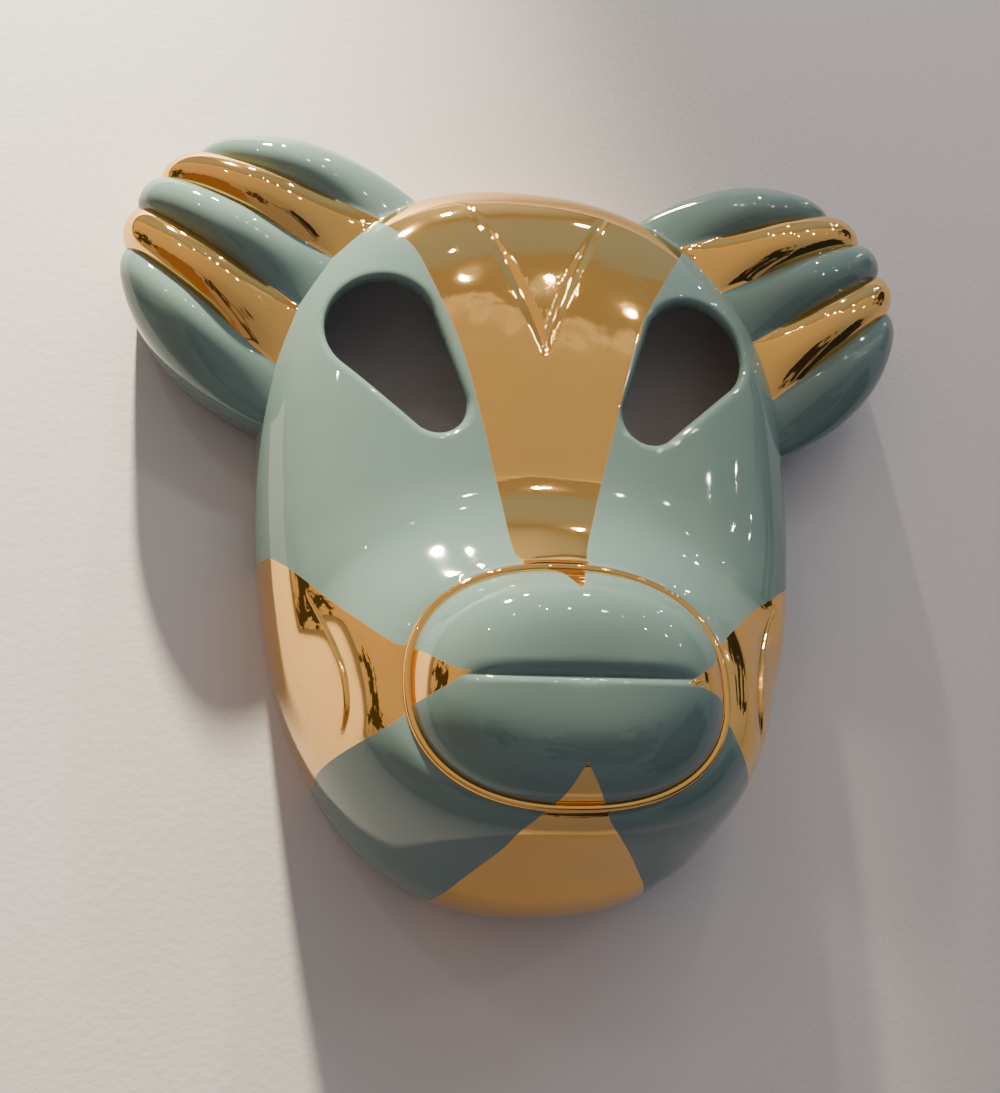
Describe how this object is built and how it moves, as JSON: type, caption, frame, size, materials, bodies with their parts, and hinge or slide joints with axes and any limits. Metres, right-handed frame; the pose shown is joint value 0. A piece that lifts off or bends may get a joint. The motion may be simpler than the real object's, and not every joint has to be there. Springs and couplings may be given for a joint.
{
  "type": "ceramic wall mask of a bear",
  "caption": "Hollow glazed ceramic wall mask of a bear with lobed ears, open eyes, a domed muzzle and an open flat back.",
  "frame": {"origin": "under the middle of the outline, on the plane of the flat foot rim", "axes": "+Z out of the face, +Y up the forehead with the chin at -Y, +X to the right of someone looking at the face"},
  "size_m": [0.527, 0.4968, 0.175],
  "materials": {
    "celadon_glaze": "high gloss celadon glaze with fields of mirror gold lustre"
  },
  "bodies": {
    "root": {"mask": "celadon_glaze"}
  },
  "joints": []
}
